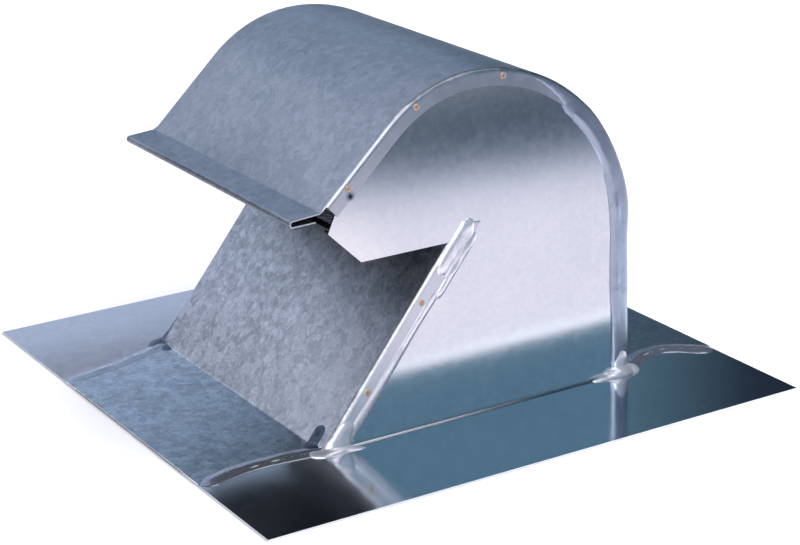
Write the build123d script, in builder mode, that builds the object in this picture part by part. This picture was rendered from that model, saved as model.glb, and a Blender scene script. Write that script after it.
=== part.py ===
"""Sheet-metal cowl vent for a flat or low-slope roof, in millimetres.

Four bent sheets make the body. Each cheek is one sheet with its half of the flashing. The hood
wrapper runs from a hemmed drip lip over the crown and down the back into the rear flashing. The
front panel slopes up from the front flashing. The wrapper and the front panel lap over the cheeks,
where they are spot-welded and soldered. A framed wire screen closes the mouth under the hood.

The mouth faces -Y, X runs across the vent, +Z is up, and the origin is the middle of the
flashing's underside.
"""

from build123d import *
import os
from math import cos, radians, sin, tan

os.makedirs("parts", exist_ok=True)

# Sheet and bends
sheet = 0.7  # 24 gauge galvanised steel
bend = 2.0  # brake bend, to the middle of the sheet
lap = 9.5  # turned edge that laps over a cheek
slack = 0.3  # gap beside a piece that drops in between two others

# Throat, outside faces
throat_width = 203.2
throat_depth = 205.0

# Flashing beyond the throat
front_flange = 74.0
back_flange = 63.2
side_flange = 76.6
underlap = 14.0  # how far the side flashing runs on under a seam

# Hood, outside faces
hood_height = 198.0  # flashing to crown
back_radius = 101.6
brow_radius = 82.0  # crown to brow
brow_angle = 43.0  # slope of the straight brow
brow_length = 58.0
lip_depth = 18.0
lip_angle = 4.0  # below level
hem_gap = 2.6  # inside the open hem's nose
hem_return = 15.0
hem_spread = 3.0  # angle between the lip and its return

# Cheek corner under the brow
corner_setback = 4.3
corner_drop = 12.5
mouth_drop = 31.9  # from the brow's foot down to the cheek's lower edge

# Front panel
panel_angle = 51.0
panel_rise = 11.0  # how far the panel runs up past the cheek's lower edge
panel_lap = 11.0  # turned edge that laps over a cheek

# Flashing seams in plan: how far inside the throat's side they run, at the throat, half way and at the edge
front_seam_right = (4.0, 8.0, 2.0)
front_seam_left = (6.0, 18.5, 25.5)
rear_seam = (4.0, 17.5, 2.5)

# Solder and spot welds
bead_width = 9.0
bead_height = 1.8
rear_bead_width = 11.0
rear_bead_height = 2.2
rear_bead_inset = 7.5  # middle of the bead, in from the hood's outline
rear_bead_stop = 64.0  # where it stops, in degrees above the back wall's tangent
notch_bead_width = 7.0
notch_bead_drop = 31.0  # how far it runs down beside the lap, below the notch
notch_cap_drop = 9.0  # how far the wider run on the lap starts below the notch
flare_radius = 11.0  # solder flared out at the four feet
flare_neck = 3.5
flare_height = 12.0
flare_lead = 2.5  # how far a front flare reaches in front of the panel's foot
weld_diameter = 4.4
weld_height = 0.25
weld_pitch = 57.0
weld_first = 15.0
weld_inset = 4.0
weld_count = 3
panel_weld_first = 40.0
panel_weld_last = 24.0  # below the run of solder on the lap's end
panel_weld_inset = 5.0
panel_weld_count = 2

# Screen
mesh_pitch = 6.35
wire = 0.7
rail_width = 8.0
screen_setback = 7.0  # front edge of the frame, behind the brow's foot
screen_drop = 13.0  # and below it
screen_rise = 3.0  # rear edge of the frame's middle, above the notch
tack_radius = 2.4
tack_count = 3

# Places that follow from the sizes
half_throat = throat_width / 2
half_outer = half_throat + sheet
half_base = half_throat + side_flange
front_y = -(front_flange + throat_depth + back_flange) / 2
foot_y = front_y + front_flange
back_y = foot_y + throat_depth
rear_y = back_y + back_flange
crown_y = back_y - back_radius
back_centre = (crown_y, hood_height - back_radius)
brow_centre = (crown_y, hood_height - brow_radius)
flange_z = 1.5 * sheet  # middle of the front and back flashing, which lies on the side flashing
top_z = 2 * sheet
brow_run = (-cos(radians(brow_angle)), -sin(radians(brow_angle)))
slope_run = (cos(radians(panel_angle)), sin(radians(panel_angle)))
bend_top = top_z + bend
cheek_inset = sheet / 2 + bend  # a cheek stops at the foot of its neighbour's corner bend
sides = ((1, "right", front_seam_right), (-1, "left", front_seam_left))


def brow_top(inset):
    """Where the brow's arc becomes straight, for a line moved inward by inset."""
    reach = brow_radius - inset
    angle = radians(brow_angle)
    return (brow_centre[0] - reach * sin(angle), brow_centre[1] + reach * cos(angle))


def brow_foot(inset, short=0.0):
    """The brow's lower end, short of the lip's bend by that much."""
    y, z = brow_top(inset)
    run = brow_length - short
    return (y + brow_run[0] * run, z + brow_run[1] * run)


def hood_line(inset, foot_z, short=0.0):
    """Side outline of the hood, from the brow's foot over the crown and down the back."""
    Line(brow_foot(inset, short), brow_top(inset))
    CenterArc(brow_centre, brow_radius - inset, 90 + brow_angle, -brow_angle)
    CenterArc(back_centre, back_radius - inset, 90, -90)
    Line((back_y - inset, back_centre[1]), (back_y - inset, foot_z))


def hood_strip(near, far, foot_z, short=0.0):
    """Closed outline between two hood lines."""
    hood_line(near, foot_z, short)
    hood_line(far, foot_z, short)
    Line(brow_foot(near, short), brow_foot(far, short))
    Line((back_y - near, foot_z), (back_y - far, foot_z))


def on_slope(along, inward=0.0):
    """Point in the side view on the front panel: distance up its outer face, and in from it."""
    y = foot_y + slope_run[0] * along + slope_run[1] * inward
    z = top_z + slope_run[1] * along - slope_run[0] * inward
    return (y, z)


def slope_at(height, inward=0.0):
    """Point on the front panel's outer face, or in from it, at a height."""
    along = (height - top_z + slope_run[0] * inward) / slope_run[1]
    return on_slope(along, inward)


mouth_height = brow_foot(0)[1] - mouth_drop
panel_length = (mouth_height + panel_rise - top_z) / slope_run[1]
cheek_tip = (brow_foot(0)[0] + corner_setback, brow_foot(0)[1] - corner_drop)
cheek_low = (cheek_tip[0] + cheek_tip[1] - mouth_height, mouth_height)


def near_line(wire_line, x, tolerance=0.02):
    """Picks edges whose middle lies on a side-view line carried out to X = x or X = -x."""

    def test(edge):
        middle = edge @ 0.5
        if abs(abs(middle.X) - x) > tolerance:
            return False
        return wire_line.distance_to(Vertex(0, middle.Y, middle.Z)) < tolerance

    return test


def seam_arc(seam, start_y, end_y, side):
    """Plan line of a flashing seam: throat, half way, edge."""
    places = [side * (half_throat - inside) for inside in seam]
    return ThreePointArc(
        (places[0], start_y),
        (places[1], (start_y + end_y) / 2),
        (places[2], end_y),
    )


def flange_outline(right, left, start_y, end_y):
    """Plan outline of the front or back flashing between its two seams."""
    seam_arc(right, start_y, end_y, 1)
    seam_arc(left, start_y, end_y, -1)
    Line((half_throat - right[0], start_y), (left[0] - half_throat, start_y))
    Line((half_throat - right[2], end_y), (left[2] - half_throat, end_y))


def dome_outline(width, height):
    """Round section of a solder bead, flat side down."""
    ThreePointArc((-width / 2, 0), (0, height), (width / 2, 0))
    Line((width / 2, 0), (-width / 2, 0))


def bead_plane(line, up):
    """Plane across a bead's line at its start, with its Y axis along up."""
    run = line % 0
    return Plane(line @ 0, x_dir=Vector(*up).cross(run), z_dir=run)


def shell_outline():
    """Side outline of everything the sheets enclose."""
    hood_line(0, 0)
    Polyline((back_y, 0), slope_at(0), slope_at(mouth_height), cheek_low, cheek_tip, brow_foot(0))


# Hood wrapper

with BuildPart() as hood_wrapper:
    with BuildSketch(Plane.YZ):
        with BuildLine():
            hood_strip(0, sheet, bend_top)
        make_face()
    extrude(amount=half_outer, both=True)
    with BuildSketch(Plane.YZ.offset(half_throat)):
        with BuildLine():
            hood_strip(0, lap, bend_top, short=lap / 2)
        make_face()
    turned_edge = extrude(amount=sheet)
    mirror(turned_edge, about=Plane.YZ)
    with BuildLine(Plane.YZ, mode=Mode.PRIVATE) as outer_line:
        hood_line(0, bend_top, short=lap / 2)
    with BuildLine(Plane.YZ, mode=Mode.PRIVATE) as inner_line:
        hood_line(sheet, bend_top, short=lap / 2)
    corner = hood_wrapper.edges().filter_by(near_line(inner_line.wire(), half_throat))
    fillet(corner, radius=bend - sheet / 2)
    corner = hood_wrapper.edges().filter_by(near_line(outer_line.wire(), half_outer))
    fillet(corner, radius=bend + sheet / 2)

    # Drip lip with its open hem
    lip_run = (-cos(radians(lip_angle)), -sin(radians(lip_angle)))
    back_run = (cos(radians(lip_angle - hem_spread)), sin(radians(lip_angle - hem_spread)))
    nose_drop = hem_gap + sheet
    lip_start = brow_foot(sheet / 2)
    lip_end = (lip_start[0] + lip_run[0] * lip_depth, lip_start[1] + lip_run[1] * lip_depth)
    nose_low = (lip_end[0], lip_end[1] - nose_drop)
    hem_end = (nose_low[0] + back_run[0] * hem_return, nose_low[1] + back_run[1] * hem_return)
    brow_point = brow_foot(sheet / 2, bend)
    nose_fillet = nose_drop * 0.42
    with BuildSketch(Plane.YZ):
        with BuildLine():
            FilletPolyline(
                brow_point,
                lip_start,
                lip_end,
                nose_low,
                hem_end,
                radius=[bend, nose_fillet, nose_fillet],
            )
        trace(line_width=sheet)
    extrude(amount=half_throat, both=True)

    # Back wall's fold and the rear flashing
    with BuildSketch(Plane.YZ):
        with BuildLine():
            FilletPolyline(
                (back_y - sheet / 2, bend_top),
                (back_y - sheet / 2, flange_z),
                (rear_y, flange_z),
                radius=bend,
            )
        trace(line_width=sheet)
    extrude(amount=half_outer, both=True)
    with BuildSketch(Plane.XY):
        with Locations((0, (back_y - throat_depth + rear_y) / 2)):
            Rectangle(2 * half_base, throat_depth + back_flange)
        with BuildSketch(mode=Mode.SUBTRACT):
            with BuildLine():
                flange_outline(rear_seam, rear_seam, back_y - 2 * bend, rear_y)
            make_face()
    extrude(amount=bend_top, mode=Mode.SUBTRACT)
hood_wrapper.part.label = "hood_wrapper"

# Front panel

with BuildPart() as front_panel:
    lap_top = on_slope(panel_length, 2 * bend)
    with BuildSketch(Plane.YZ):
        with BuildLine():
            Polyline(
                slope_at(bend_top),
                on_slope(panel_length),
                on_slope(panel_length, sheet),
                slope_at(bend_top, sheet),
                close=True,
            )
        make_face()
    extrude(amount=half_outer, both=True)
    with BuildSketch(Plane.YZ.offset(half_throat)):
        with BuildLine():
            Polyline(
                slope_at(bend_top),
                on_slope(panel_length),
                lap_top,
                slope_at(lap_top[1], panel_lap),
                slope_at(bend_top, panel_lap),
                close=True,
            )
        make_face()
    turned_edge = extrude(amount=sheet)
    mirror(turned_edge, about=Plane.YZ)
    with BuildLine(Plane.YZ, mode=Mode.PRIVATE) as outer_line:
        Line(slope_at(bend_top), on_slope(panel_length))
    with BuildLine(Plane.YZ, mode=Mode.PRIVATE) as inner_line:
        Line(slope_at(bend_top, sheet), on_slope(panel_length, sheet))
    corner = front_panel.edges().filter_by(near_line(inner_line.wire(), half_throat))
    fillet(corner, radius=bend - sheet / 2)
    corner = front_panel.edges().filter_by(near_line(outer_line.wire(), half_outer))
    fillet(corner, radius=bend + sheet / 2)

    # Fold at the foot and the front flashing
    with BuildSketch(Plane.YZ):
        with BuildLine():
            FilletPolyline(
                (front_y, flange_z),
                slope_at(flange_z, sheet / 2),
                slope_at(bend_top, sheet / 2),
                radius=bend,
            )
        trace(line_width=sheet)
    extrude(amount=half_outer, both=True)
    # Flashing, cut back to its seams
    with BuildSketch(Plane.XY):
        with Locations((0, (front_y + foot_y) / 2)):
            Rectangle(4 * half_base, front_flange + 4 * bend)
        with BuildSketch(mode=Mode.SUBTRACT):
            with BuildLine():
                flange_outline(front_seam_right, front_seam_left, foot_y + 2 * bend, front_y)
            make_face()
    extrude(amount=bend_top, mode=Mode.SUBTRACT)

    # Slit at each notch, where the panel passes in between the cheeks
    with BuildSketch(Plane.YZ.offset(half_throat)):
        with Locations((0, mouth_height - slack)):
            Rectangle(2 * half_base, hood_height, align=(Align.CENTER, Align.MIN))
    slit = extrude(amount=-sheet - slack, mode=Mode.SUBTRACT)
    mirror(slit, about=Plane.YZ, mode=Mode.SUBTRACT)
front_panel.part.label = "front_panel"

# Cheeks with the side flashing

cheeks = {}
for side, hand, front_seam in sides:
    with BuildPart() as cheek:
        with BuildSketch(Plane.XZ):
            with BuildLine():
                FilletPolyline(
                    (side * half_base, sheet / 2),
                    (side * (half_throat - sheet / 2), sheet / 2),
                    (side * (half_throat - sheet / 2), hood_height),
                    radius=bend,
                )
            trace(line_width=sheet)
        extrude(amount=-front_y, both=True)
        with BuildSketch(Plane.YZ.offset(side * (half_throat + bend))):
            Rectangle(4 * half_base, 4 * hood_height)
            with BuildSketch(mode=Mode.SUBTRACT):
                with BuildLine():
                    heel = slope_at(0, cheek_inset)
                    hood_line(cheek_inset, 0, short=2 * lap)
                    Polyline(
                        brow_foot(cheek_inset, 2 * lap),
                        cheek_tip,
                        cheek_low,
                        slope_at(mouth_height, cheek_inset),
                        heel,
                        (back_y - cheek_inset, 0),
                    )
                make_face()
        extrude(amount=-side * (2 * bend + sheet), mode=Mode.SUBTRACT)

        # Underlaps below the front and back flashing
        front_underlap = side_flange + max(front_seam) + underlap
        rear_underlap = side_flange + max(rear_seam) + underlap
        with BuildSketch(Plane.XY):
            with Locations((side * (half_base - front_underlap / 2), (front_y + foot_y - slack) / 2)):
                Rectangle(front_underlap, front_flange - slack)
            with Locations((side * (half_base - rear_underlap / 2), (rear_y + back_y + slack) / 2)):
                Rectangle(rear_underlap, back_flange - slack)
        extrude(amount=sheet)
    cheeks[hand] = cheek.part
    cheek.part.label = f"{hand}_cheek"

# Solder

solder = {}
for side, hand, front_seam in sides:
    face_x = side * half_throat
    lap_x = side * half_outer
    up = (side, 0, 0)
    sheets = [hood_wrapper.part, front_panel.part, cheeks[hand]]

    # Flares at the feet, outside the shell
    for end, flare_y in (("front", foot_y + flare_radius - flare_lead), ("rear", back_y - flare_neck)):
        with BuildPart() as flare:
            with BuildSketch(Plane((face_x, flare_y, 0), x_dir=(1, 0, 0), z_dir=(0, -1, 0))):
                with BuildLine():
                    flare_top = (flare_neck, flare_height)
                    flare_edge = (flare_radius, sheet)
                    Polyline(flare_top, (0, flare_height), (0, sheet), flare_edge)
                    SagittaArc(flare_edge, flare_top, flare_neck)
                make_face()
            revolve(axis=Axis((face_x, flare_y, 0), (0, 0, 1)))
            with BuildSketch(Plane.YZ):
                with BuildLine():
                    shell_outline()
                make_face()
            extrude(amount=half_throat, both=True, mode=Mode.SUBTRACT)
            add(sheets, mode=Mode.SUBTRACT)
        flare.part.label = f"{end}_foot_solder_{hand}"
        solder[flare.part.label] = flare.part

    # Flashing seams
    front_path = (front_seam, foot_y, front_y)
    rear_path = (rear_seam, back_y, rear_y)
    for end, (seam, start_y, end_y) in (("front", front_path), ("rear", rear_path)):
        with BuildPart() as bead:
            with BuildLine(Plane.XY.offset(sheet)) as path:
                seam_arc(seam, start_y, end_y, side)
            with BuildSketch(bead_plane(path.line, (0, 0, 1))):
                with BuildLine():
                    dome_outline(bead_width, sheet + bead_height)
                make_face()
            sweep()
            add(sheets, mode=Mode.SUBTRACT)
            add(solder[f"{end}_foot_solder_{hand}"], mode=Mode.SUBTRACT)
            with BuildSketch(Plane.XY):
                Rectangle(4 * half_base, 4 * rear_y)
                Rectangle(2 * half_base, 2 * rear_y, mode=Mode.SUBTRACT)
            extrude(amount=hood_height, mode=Mode.SUBTRACT)
        bead.part.label = f"{end}_flange_solder_{hand}"
        solder[bead.part.label] = bead.part

    # Seam up the back corner and over the shoulder
    with BuildPart() as bead:
        with BuildLine(Plane.YZ.offset(face_x)) as path:
            bead_y = back_y - rear_bead_inset
            Line((bead_y, flare_neck), (bead_y, back_centre[1]))
            CenterArc(back_centre, back_radius - rear_bead_inset, 0, rear_bead_stop)
        with BuildSketch(bead_plane(path.line, up)):
            with BuildLine():
                dome_outline(rear_bead_width, sheet + rear_bead_height)
            make_face()
        sweep()
        add(sheets, mode=Mode.SUBTRACT)
        add(solder[f"rear_foot_solder_{hand}"], mode=Mode.SUBTRACT)
    bead.part.label = f"rear_seam_solder_{hand}"
    solder[bead.part.label] = bead.part

    # Two runs at the notch: one beside the lap and one on its end
    with BuildPart() as bead:
        with BuildLine(Plane.YZ.offset(face_x)) as path:
            Line(slope_at(mouth_height - notch_bead_drop, panel_lap), slope_at(mouth_height, panel_lap))
        with BuildSketch(bead_plane(path.line, up)):
            with BuildLine():
                dome_outline(notch_bead_width, sheet + bead_height)
            make_face()
        sweep()
        cap_inset = panel_lap - bead_width / 2
        with BuildLine(Plane.YZ.offset(lap_x)) as path:
            Line(slope_at(mouth_height - notch_cap_drop, cap_inset), slope_at(lap_top[1], cap_inset))
        with BuildSketch(bead_plane(path.line, up)):
            with BuildLine():
                dome_outline(bead_width, bead_height)
            make_face()
        sweep()
        add(sheets, mode=Mode.SUBTRACT)
    bead.part.label = f"notch_solder_{hand}"
    solder[bead.part.label] = bead.part

# Spot welds

welds = []
for side, hand, front_seam in sides:
    with BuildLine(Plane.YZ, mode=Mode.PRIVATE) as weld_line:
        hood_line(weld_inset, bend_top, short=lap / 2)
    hood_places = []
    for number in range(weld_count):
        place = weld_line.wire().position_at(weld_first + weld_pitch * number, PositionMode.LENGTH)
        hood_places.append((place.Y, place.Z))
    cap_start = (mouth_height - notch_cap_drop - top_z) / slope_run[1]
    panel_pitch = (cap_start - panel_weld_last - panel_weld_first) / (panel_weld_count - 1)
    panel_places = []
    for number in range(panel_weld_count):
        panel_places.append(on_slope(panel_weld_first + panel_pitch * number, panel_weld_inset))
    for name, places in (("hood", hood_places), ("panel", panel_places)):
        with BuildPart() as spots:
            with BuildSketch(Plane((side * half_outer, 0, 0), x_dir=(0, side, 0), z_dir=(side, 0, 0))):
                with Locations(*[(side * y, z) for y, z in places]):
                    Circle(weld_diameter / 2)
            extrude(amount=weld_height, taper=45)
        spots.part.label = f"{name}_spot_welds_{hand}"
        welds.append(spots.part)

# Screen, in its own plane: local X runs across the vent, local Y from the mouth's front to its rear

rail_top = sheet + wire  # the rail folds over two layers of wire
frame_half = half_throat - sheet
mesh_half = frame_half - sheet
frame_front = Vector(0, brow_foot(0)[0] + screen_setback, brow_foot(0)[1] - screen_drop)
frame_run = Vector(0, *slope_at(mouth_height + screen_rise)) - frame_front
frame_depth = frame_run.length - rail_top / tan(radians(panel_angle)) - slack
mesh_depth = frame_depth - 2 * sheet
frame_middle = frame_front + frame_run.normalized() * (frame_depth / 2)
screen_plane = Plane(frame_middle, x_dir=(1, 0, 0), z_dir=Vector(1, 0, 0).cross(frame_run))
across_plane = Plane(
    screen_plane.from_local_coords((-mesh_half, 0, -wire / 2)),
    x_dir=screen_plane.y_dir,
    z_dir=screen_plane.x_dir,
)
down_plane = Plane(
    screen_plane.from_local_coords((0, mesh_depth / 2, wire / 2)),
    x_dir=screen_plane.x_dir,
    z_dir=-screen_plane.y_dir,
)

across_size = (2 * (frame_half - rail_width), rail_width)
across_y = (frame_depth - rail_width) / 2
side_size = (rail_width, frame_depth)
side_x = frame_half - rail_width / 2
rails = (
    ("front", across_size, (0, -across_y), (0, sheet)),
    ("rear", across_size, (0, across_y), (0, -sheet)),
    ("right", side_size, (side_x, 0), (-sheet, 0)),
    ("left", side_size, (-side_x, 0), (sheet, 0)),
)
screen = []
for end, size, place, web in rails:
    with BuildPart() as rail:
        with BuildSketch(screen_plane):
            with Locations(place):
                Rectangle(*size)
        extrude(amount=rail_top, both=True)
        with BuildSketch(screen_plane):
            with Locations((place[0] + web[0], place[1] + web[1])):
                Rectangle(*size)
        extrude(amount=wire, both=True, mode=Mode.SUBTRACT)
    rail.part.label = f"screen_rail_{end}"
    screen.append(rail.part)

wire_layers = (
    ("across", across_plane, mesh_depth, 2 * mesh_half),
    ("down", down_plane, 2 * mesh_half, mesh_depth),
)
for run, plane, span, length in wire_layers:
    with BuildPart() as wires:
        with BuildSketch(plane):
            with GridLocations(mesh_pitch, 1, int(span / mesh_pitch), 1):
                Circle(wire / 2)
        extrude(amount=length)
    wires.part.label = f"screen_wires_{run}"
    screen.append(wires.part)

for side, hand, front_seam in sides:
    with BuildPart(screen_plane.offset(rail_top)) as tacks:
        with Locations((side * frame_half, 0)):
            with GridLocations(1, frame_depth / tack_count, 1, tack_count):
                Sphere(tack_radius)
        box_size = (2 * tack_radius, frame_depth, 4 * tack_radius)
        with Locations((side * (frame_half + tack_radius), 0)):
            Box(*box_size, mode=Mode.SUBTRACT)
        with Locations((side * (frame_half - tack_radius), 0, -2 * tack_radius)):
            Box(*box_size, mode=Mode.SUBTRACT)
    tacks.part.label = f"screen_tacks_{hand}"
    screen.append(tacks.part)

# Files

pieces = [hood_wrapper.part, front_panel.part, *cheeks.values(), *solder.values(), *welds, *screen]
for piece in pieces:
    export_step(piece, f"parts/{piece.label}.step")
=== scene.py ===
import math

import bmesh
import bpy
from mathutils import Matrix, Vector, noise


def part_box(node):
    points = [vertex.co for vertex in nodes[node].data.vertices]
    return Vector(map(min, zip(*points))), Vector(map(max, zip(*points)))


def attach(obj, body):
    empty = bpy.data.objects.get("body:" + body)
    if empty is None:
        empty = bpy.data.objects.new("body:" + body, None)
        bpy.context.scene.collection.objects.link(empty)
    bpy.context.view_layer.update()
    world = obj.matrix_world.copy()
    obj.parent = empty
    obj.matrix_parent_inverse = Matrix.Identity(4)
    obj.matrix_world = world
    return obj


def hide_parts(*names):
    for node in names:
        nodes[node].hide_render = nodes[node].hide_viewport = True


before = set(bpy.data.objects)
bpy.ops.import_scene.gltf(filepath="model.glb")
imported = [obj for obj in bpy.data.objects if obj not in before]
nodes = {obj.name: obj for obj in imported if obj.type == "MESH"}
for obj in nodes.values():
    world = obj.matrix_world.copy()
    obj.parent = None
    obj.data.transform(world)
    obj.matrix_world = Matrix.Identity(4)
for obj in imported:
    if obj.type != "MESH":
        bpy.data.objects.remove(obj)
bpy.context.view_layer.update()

mm = 0.001

# Places that several pieces share, all from the frame
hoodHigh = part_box("hood_wrapper")[1]
sheet = 0.7 * mm
halfOuter = hoodHigh.x  # outer face of the turned edges
halfThroat = halfOuter - sheet  # outer face of the cheeks
rearY = hoodHigh.y
crownZ = hoodHigh.z
print("frame loaded:", len(nodes), "nodes")


# Node trees

def addNode(tree, kind, x, y, values=None, **settings):
    node = tree.nodes.new(kind)
    node.location = (x, y)
    for name, value in settings.items():
        setattr(node, name, value)
    for name, value in (values or {}).items():
        node.inputs[name].default_value = value
    return node


def newGroup(name, inputs, outputs):
    tree = bpy.data.node_groups.new(name, "ShaderNodeTree")
    for socketName, kind, value in inputs:
        socket = tree.interface.new_socket(name=socketName, in_out="INPUT", socket_type=kind)
        if value is not None:
            socket.default_value = value
    for socketName, kind in outputs:
        tree.interface.new_socket(name=socketName, in_out="OUTPUT", socket_type=kind)
    start = addNode(tree, "NodeGroupInput", -1200, 0)
    end = addNode(tree, "NodeGroupOutput", 800, 0)
    return tree, start, end


def useGroup(tree, group, x, y, **values):
    node = addNode(tree, "ShaderNodeGroup", x, y, node_tree=group)
    for name, value in values.items():
        node.inputs[name].default_value = value
    return node


def mathNode(tree, operation, x, y, first, second=None, clamp=False):
    node = addNode(tree, "ShaderNodeMath", x, y, operation=operation, use_clamp=clamp)
    for socket, value in ((node.inputs[0], first), (node.inputs[1], second)):
        if isinstance(value, bpy.types.NodeSocket):
            tree.links.new(value, socket)
        elif value is not None:
            socket.default_value = value
    return node.outputs[0]


def mapRange(tree, x, y, value, fromLow, fromHigh, toLow, toHigh, smooth=False):
    node = addNode(tree, "ShaderNodeMapRange", x, y)
    if smooth:
        node.interpolation_type = "SMOOTHSTEP"
    tree.links.new(value, node.inputs["Value"])
    node.inputs["From Min"].default_value = fromLow
    node.inputs["From Max"].default_value = fromHigh
    node.inputs["To Min"].default_value = toLow
    node.inputs["To Max"].default_value = toHigh
    return node.outputs["Result"]


def mixColor(tree, x, y, factor, first, second, blend="MIX"):
    node = addNode(tree, "ShaderNodeMix", x, y, data_type="RGBA", blend_type=blend)
    for socket, value in ((node.inputs[0], factor), (node.inputs[6], first), (node.inputs[7], second)):
        if isinstance(value, bpy.types.NodeSocket):
            tree.links.new(value, socket)
        else:
            socket.default_value = value
    return node.outputs[2]


def rgb(red, green, blue):
    return (red, green, blue, 1.0)


# Shared effects

def makeSpangleGroup():
    # Zinc crystals: soft-edged flakes, each with its own brightness and its own fine streaks
    tree, start, end = newGroup(
        "zincSpangle",
        [("Flake Scale", "NodeSocketFloat", 160.0), ("Streak Scale", "NodeSocketFloat", 500.0),
         ("Softness", "NodeSocketFloat", 0.4)],
        [("Flake", "NodeSocketFloat"), ("Streak", "NodeSocketFloat"), ("Grain", "NodeSocketFloat")],
    )
    links = tree.links
    coords = addNode(tree, "ShaderNodeTexCoord", -1200, -300)
    wobble = addNode(tree, "ShaderNodeTexNoise", -1000, -300, {"Scale": 240.0, "Detail": 3.0})
    links.new(coords.outputs["Object"], wobble.inputs["Vector"])
    centred = addNode(tree, "ShaderNodeVectorMath", -820, -300, operation="SUBTRACT")
    centred.inputs[1].default_value = (0.5, 0.5, 0.5)
    links.new(wobble.outputs["Color"], centred.inputs[0])
    scaled = addNode(tree, "ShaderNodeVectorMath", -660, -300, operation="SCALE")
    scaled.inputs["Scale"].default_value = 6 * mm
    links.new(centred.outputs[0], scaled.inputs[0])
    moved = addNode(tree, "ShaderNodeVectorMath", -500, -300, operation="ADD")
    links.new(coords.outputs["Object"], moved.inputs[0])
    links.new(scaled.outputs[0], moved.inputs[1])

    cells = addNode(tree, "ShaderNodeTexVoronoi", -320, 100, feature="SMOOTH_F1")
    links.new(moved.outputs[0], cells.inputs["Vector"])
    links.new(start.outputs["Flake Scale"], cells.inputs["Scale"])
    links.new(start.outputs["Softness"], cells.inputs["Smoothness"])
    split = addNode(tree, "ShaderNodeSeparateColor", -140, 100)
    links.new(cells.outputs["Color"], split.inputs[0])

    small = addNode(tree, "ShaderNodeTexVoronoi", -320, -200, feature="SMOOTH_F1")
    links.new(moved.outputs[0], small.inputs["Vector"])
    finer = mathNode(tree, "MULTIPLY", -500, -120, start.outputs["Flake Scale"], 2.6)
    links.new(finer, small.inputs["Scale"])
    links.new(start.outputs["Softness"], small.inputs["Smoothness"])
    smallSplit = addNode(tree, "ShaderNodeSeparateColor", -140, -200)
    links.new(small.outputs["Color"], smallSplit.inputs[0])
    big = mathNode(tree, "MULTIPLY", 40, 100, split.outputs[0], 0.62)
    little = mathNode(tree, "MULTIPLY", 40, -60, smallSplit.outputs[1], 0.38)
    links.new(mathNode(tree, "ADD", 220, 40, big, little), end.inputs["Flake"])

    # Streaks lie at a different angle in every flake
    geometry = addNode(tree, "ShaderNodeNewGeometry", -500, -560)
    angle = mathNode(tree, "MULTIPLY", -320, -460, split.outputs[2], 12.0)
    turned = addNode(tree, "ShaderNodeVectorRotate", -140, -500, rotation_type="AXIS_ANGLE")
    links.new(coords.outputs["Object"], turned.inputs["Vector"])
    links.new(geometry.outputs["True Normal"], turned.inputs["Axis"])
    links.new(angle, turned.inputs["Angle"])
    stretched = addNode(tree, "ShaderNodeVectorMath", 40, -500, operation="MULTIPLY")
    stretched.inputs[1].default_value = (0.28, 1.0, 1.0)
    links.new(turned.outputs[0], stretched.inputs[0])
    streaks = addNode(tree, "ShaderNodeTexNoise", 220, -500, {"Detail": 2.0, "Roughness": 0.45})
    links.new(stretched.outputs[0], streaks.inputs["Vector"])
    links.new(start.outputs["Streak Scale"], streaks.inputs["Scale"])
    links.new(streaks.outputs["Fac"], end.inputs["Streak"])

    grain = addNode(tree, "ShaderNodeTexNoise", 220, -760, {"Scale": 2400.0, "Detail": 2.0})
    links.new(coords.outputs["Object"], grain.inputs["Vector"])
    links.new(grain.outputs["Fac"], end.inputs["Grain"])
    return tree


def makeStainGroup():
    # Blotches from flux, water and handling
    tree, start, end = newGroup(
        "handlingStains",
        [("Scale", "NodeSocketFloat", 22.0), ("Spread", "NodeSocketFloat", 0.5)],
        [("Mask", "NodeSocketFloat"), ("Cloud", "NodeSocketFloat")],
    )
    links = tree.links
    coords = addNode(tree, "ShaderNodeTexCoord", -1200, -200)
    settings = {"Detail": 5.0, "Roughness": 0.62, "Distortion": 0.6}
    cloud = addNode(tree, "ShaderNodeTexNoise", -900, 0, settings)
    links.new(coords.outputs["Object"], cloud.inputs["Vector"])
    links.new(start.outputs["Scale"], cloud.inputs["Scale"])
    edge = mathNode(tree, "SUBTRACT", -600, 0, cloud.outputs["Fac"], start.outputs["Spread"])
    links.new(mapRange(tree, -400, 0, edge, 0.0, 0.16, 0.0, 1.0, smooth=True), end.inputs["Mask"])
    links.new(cloud.outputs["Fac"], end.inputs["Cloud"])
    return tree


def makeSheetWaveGroup():
    # Slow unevenness of thin sheet, and the fine lines that rolling leaves in it
    tree, start, end = newGroup(
        "sheetWave",
        [("Wave Scale", "NodeSocketFloat", 9.0), ("Line Scale", "NodeSocketFloat", 700.0)],
        [("Wave", "NodeSocketFloat"), ("Lines", "NodeSocketFloat")],
    )
    links = tree.links
    coords = addNode(tree, "ShaderNodeTexCoord", -1200, -200)
    wave = addNode(tree, "ShaderNodeTexNoise", -900, 100, {"Detail": 1.0, "Roughness": 0.3})
    links.new(coords.outputs["Object"], wave.inputs["Vector"])
    links.new(start.outputs["Wave Scale"], wave.inputs["Scale"])
    links.new(wave.outputs["Fac"], end.inputs["Wave"])
    stretched = addNode(tree, "ShaderNodeVectorMath", -900, -200, operation="MULTIPLY")
    stretched.inputs[1].default_value = (1.0, 1.0, 0.02)
    links.new(coords.outputs["Object"], stretched.inputs[0])
    lines = addNode(tree, "ShaderNodeTexNoise", -700, -200, {"Detail": 2.0, "Roughness": 0.6})
    links.new(stretched.outputs[0], lines.inputs["Vector"])
    links.new(start.outputs["Line Scale"], lines.inputs["Scale"])
    links.new(lines.outputs["Fac"], end.inputs["Lines"])
    return tree


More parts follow.
